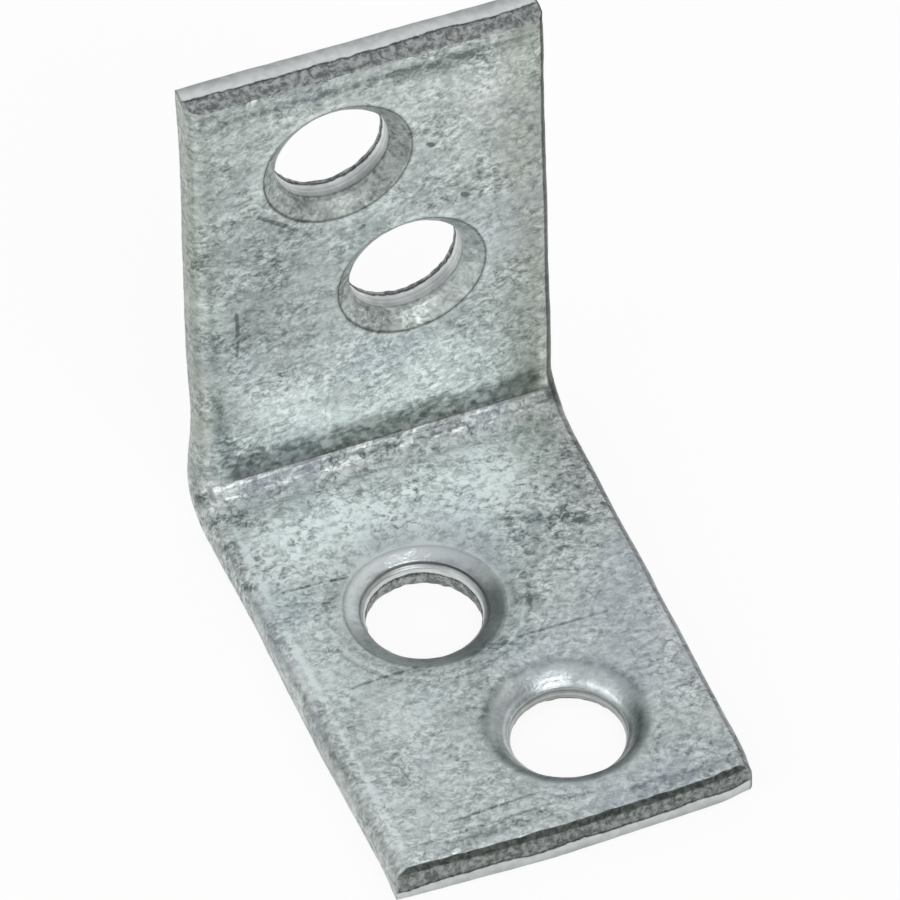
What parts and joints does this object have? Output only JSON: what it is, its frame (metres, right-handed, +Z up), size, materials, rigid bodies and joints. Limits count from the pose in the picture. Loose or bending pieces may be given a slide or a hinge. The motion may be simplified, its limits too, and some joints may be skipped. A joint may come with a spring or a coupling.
{
  "type": "corner brace bracket",
  "caption": "Short wide strip of zinc-plated steel bent to a right angle, with staggered countersunk screw holes in each leg.",
  "frame": {"origin": "centre of the bracket's outline on the ground, in the plane of the floor leg's outer face", "axes": "+Z up along the upright; -Y along the floor leg, away from the upright; X across the strip"},
  "size_m": [0.013, 0.019, 0.0196],
  "materials": {
    "zinc_steel": "zinc plated over cold rolled steel, dull, mottled and scratched, with darker torn bands on the sheared ends"
  },
  "bodies": {
    "root": {"bracket": "zinc_steel"}
  },
  "joints": []
}
